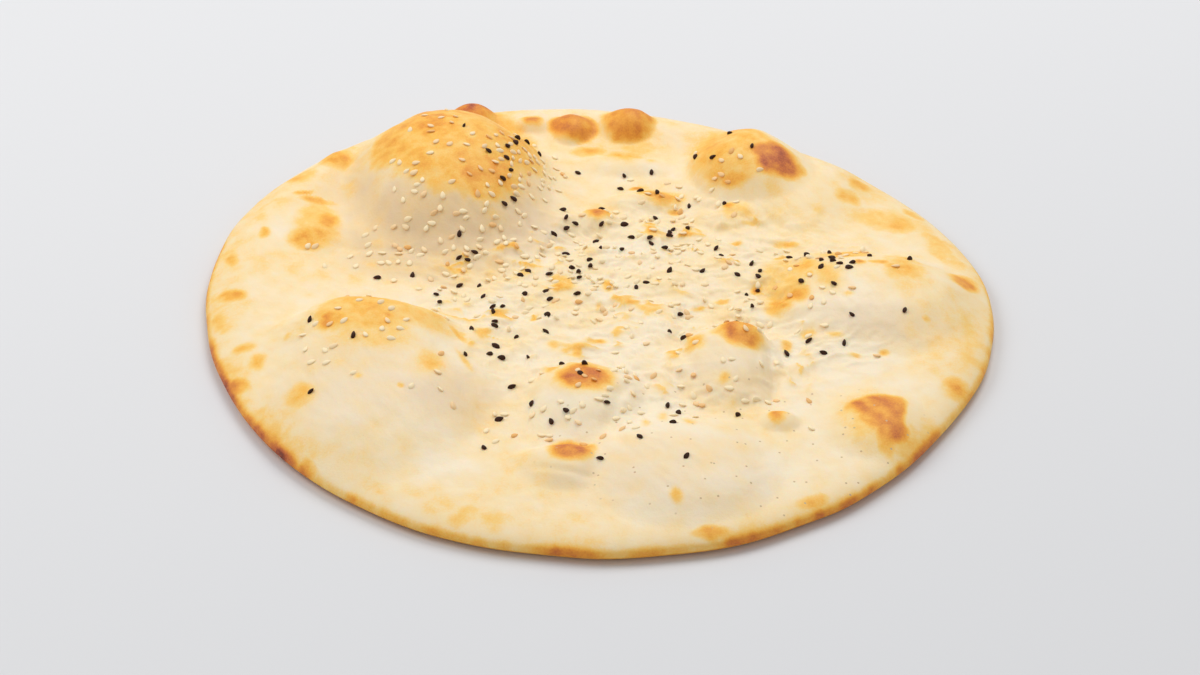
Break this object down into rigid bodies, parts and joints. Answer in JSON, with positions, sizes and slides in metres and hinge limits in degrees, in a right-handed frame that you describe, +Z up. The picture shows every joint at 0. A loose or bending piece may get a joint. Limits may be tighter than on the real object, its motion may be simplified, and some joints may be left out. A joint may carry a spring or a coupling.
{
  "type": "naan",
  "caption": "Round leavened flatbread, puffed and blistered on top, with dark and pale seeds baked in; flat underneath.",
  "frame": {"origin": "middle of the bread's outline, on the flat underside that it rests on", "axes": "+Z up, out of the seeded top; -Y towards the side shown nearest; +X to the right of that view"},
  "size_m": [0.2893, 0.2942, 0.0341],
  "materials": {
    "crust": "matte"
  },
  "bodies": {
    "root": {"naan": "crust"}
  },
  "joints": []
}
